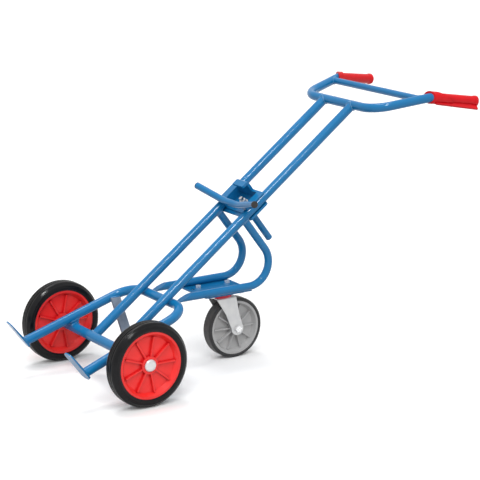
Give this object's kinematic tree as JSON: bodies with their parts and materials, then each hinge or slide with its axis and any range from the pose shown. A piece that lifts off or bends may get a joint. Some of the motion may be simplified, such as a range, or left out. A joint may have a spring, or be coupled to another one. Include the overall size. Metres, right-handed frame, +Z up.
{
  "type": "drum trolley",
  "caption": "Wheeled trolley for tilting and moving a drum: tube frame with toe plates, sliding rim hook, splayed handles and a swivel support caster.",
  "frame": {"origin": "on the floor, in the middle plane, under the middle of the overall length, with the trolley leaned back on its wheels and caster", "axes": "+X from the toe plates back to the handles, +Y to the left wheel, +Z up"},
  "size_m": [1.4058, 0.5824, 0.8072],
  "materials": {
    "blue_paint": "glossy powder coat",
    "step_steel": "dull grey coat",
    "axle_steel": "bright turned steel",
    "zinc": "bright zinc plate",
    "cap_metal": "satin",
    "grip_red": "soft moulded",
    "plug_black": "moulded",
    "rim_red": "moulded, half gloss",
    "ring_red": "moulded, half gloss",
    "bush_plastic": "moulded",
    "tyre_black": "matt rubber",
    "rim_grey": "moulded",
    "tyre_grey": "matt rubber"
  },
  "bodies": {
    "frame": {"rail_left": "blue_paint", "rail_right": "blue_paint", "axle_tube": "blue_paint", "axle": "axle_steel", "axle_spacer_left": "axle_steel", "axle_spacer_right": "axle_steel", "axle_cap_left": "cap_metal", "axle_cap_right": "cap_metal", "toe_bow": "blue_paint", "bow_saddle_left": "blue_paint", "bow_saddle_right": "blue_paint", "toe_plate_left": "blue_paint", "toe_plate_right": "blue_paint", "foot_step": "step_steel", "caster_stay_left": "blue_paint", "caster_stay_right": "blue_paint", "caster_carrier": "blue_paint", "handle_bow": "blue_paint", "handle_cross_tube": "blue_paint", "grip_left": "grip_red", "grip_right": "grip_red", "caster_top_plate": "zinc", "caster_race": "zinc", "caster_kingpin": "axle_steel", "caster_bolts": "zinc", "caster_nuts": "zinc"},
    "carriage": {"carriage_channel": "blue_paint", "carriage_back_plate": "blue_paint", "carriage_hook": "blue_paint", "carriage_cradle": "blue_paint", "carriage_rod": "blue_paint", "carriage_stud": "axle_steel", "carriage_washer": "zinc", "carriage_nut": "zinc", "carriage_plug_left": "plug_black", "carriage_plug_right": "plug_black"},
    "wheel_left": {"wheel_left_rim": "rim_red", "wheel_left_tyre": "tyre_black", "wheel_left_bush": "bush_plastic"},
    "wheel_right": {"wheel_right_rim": "rim_red", "wheel_right_tyre": "tyre_black", "wheel_right_bush": "bush_plastic"},
    "caster_swivel": {"caster_fork": "zinc", "caster_dust_ring": "ring_red", "caster_axle_bolt": "zinc", "caster_axle_nut": "zinc", "caster_sleeve": "axle_steel"},
    "caster_wheel": {"caster_wheel_rim": "rim_grey", "caster_wheel_tyre": "tyre_grey", "caster_wheel_bush": "bush_plastic"}
  },
  "joints": [
    {"name": "left_wheel_spin", "type": "hinge", "parent": "frame", "child": "wheel_left", "pos_m": [-0.4863, 0.2585, 0.125], "axis": [0, 1, 0], "continuous": true},
    {"name": "right_wheel_spin", "type": "hinge", "parent": "frame", "child": "wheel_right", "pos_m": [-0.4863, -0.2585, 0.125], "axis": [0, 1, 0], "continuous": true},
    {"name": "caster_turn", "type": "hinge", "parent": "frame", "child": "caster_swivel", "pos_m": [-0.0743, 0, 0.2], "axis": [0, 0, 1], "continuous": true},
    {"name": "caster_spin", "type": "hinge", "parent": "caster_swivel", "child": "caster_wheel", "pos_m": [-0.0283, 0, 0.095], "axis": [0, 1, 0], "continuous": true},
    {"name": "carriage_slide", "type": "slide", "parent": "frame", "child": "carriage", "axis": [0.7976, 0, 0.6032], "range_m": [0, 0.38]}
  ]
}
